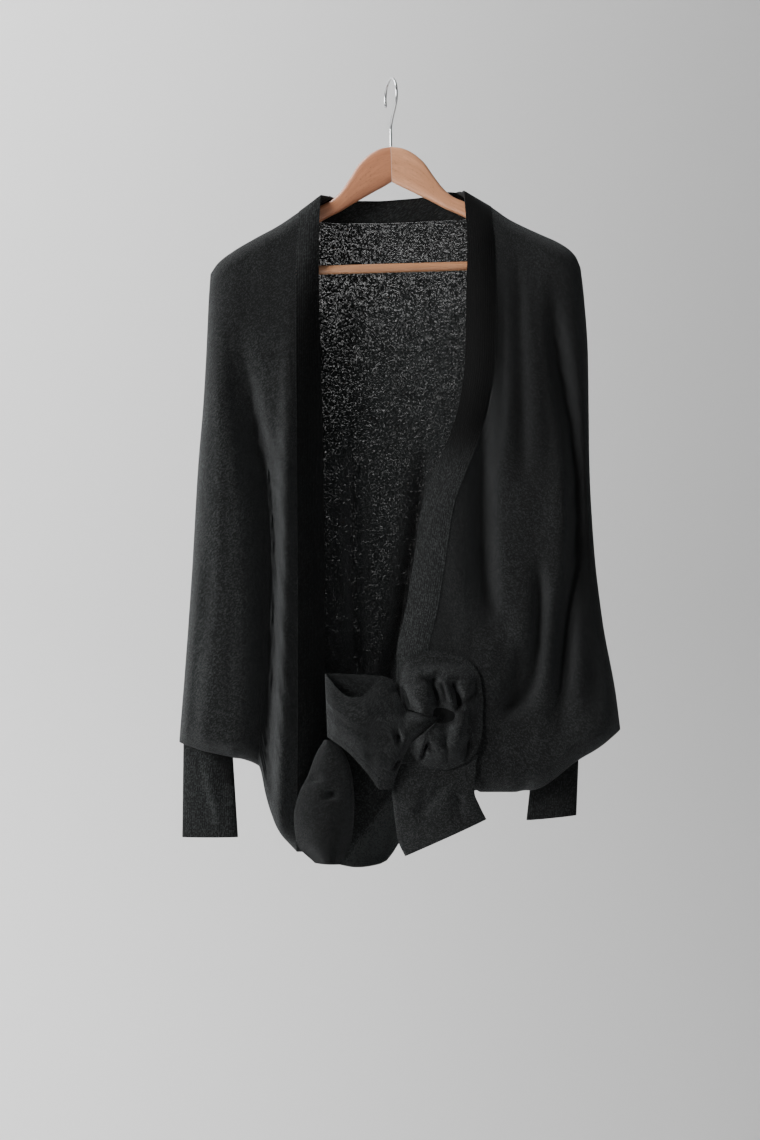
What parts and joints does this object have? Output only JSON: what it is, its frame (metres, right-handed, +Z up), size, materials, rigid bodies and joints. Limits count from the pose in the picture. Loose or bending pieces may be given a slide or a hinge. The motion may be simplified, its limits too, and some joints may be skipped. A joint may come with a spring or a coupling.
{
  "type": "open-front knit cardigan on a wooden hanger",
  "caption": "Black fine-knit open-front cardigan with wide wing sleeves, long narrow cuffs and a hem tied in a knot, on a wooden hanger.",
  "frame": {"origin": "the hook's seat: the inner top of its wire, where it bears on the rail", "axes": "+Z up along the hang, -Y out of the garment's front, +X to the right as seen from the front"},
  "size_m": [0.5269, 0.1136, 0.9496],
  "materials": {
    "knit": "matt black fine knit, speckled with tiny holes",
    "rib": "matt black rib knit",
    "beech": "red-brown beech, satin varnish",
    "steel": "bright plated wire"
  },
  "bodies": {
    "root": {"back": "knit", "front_left": "knit", "front_right": "knit", "knot": "knit", "tail_left": "knit", "tail_right": "knit", "hem_turn": "knit", "band_left": "rib", "band_right": "rib", "neckband_back": "rib", "cuff_left": "rib", "cuff_right": "rib", "hanger_arm_left": "beech", "hanger_arm_right": "beech", "hanger_bar": "beech", "hook": "steel"}
  },
  "joints": []
}
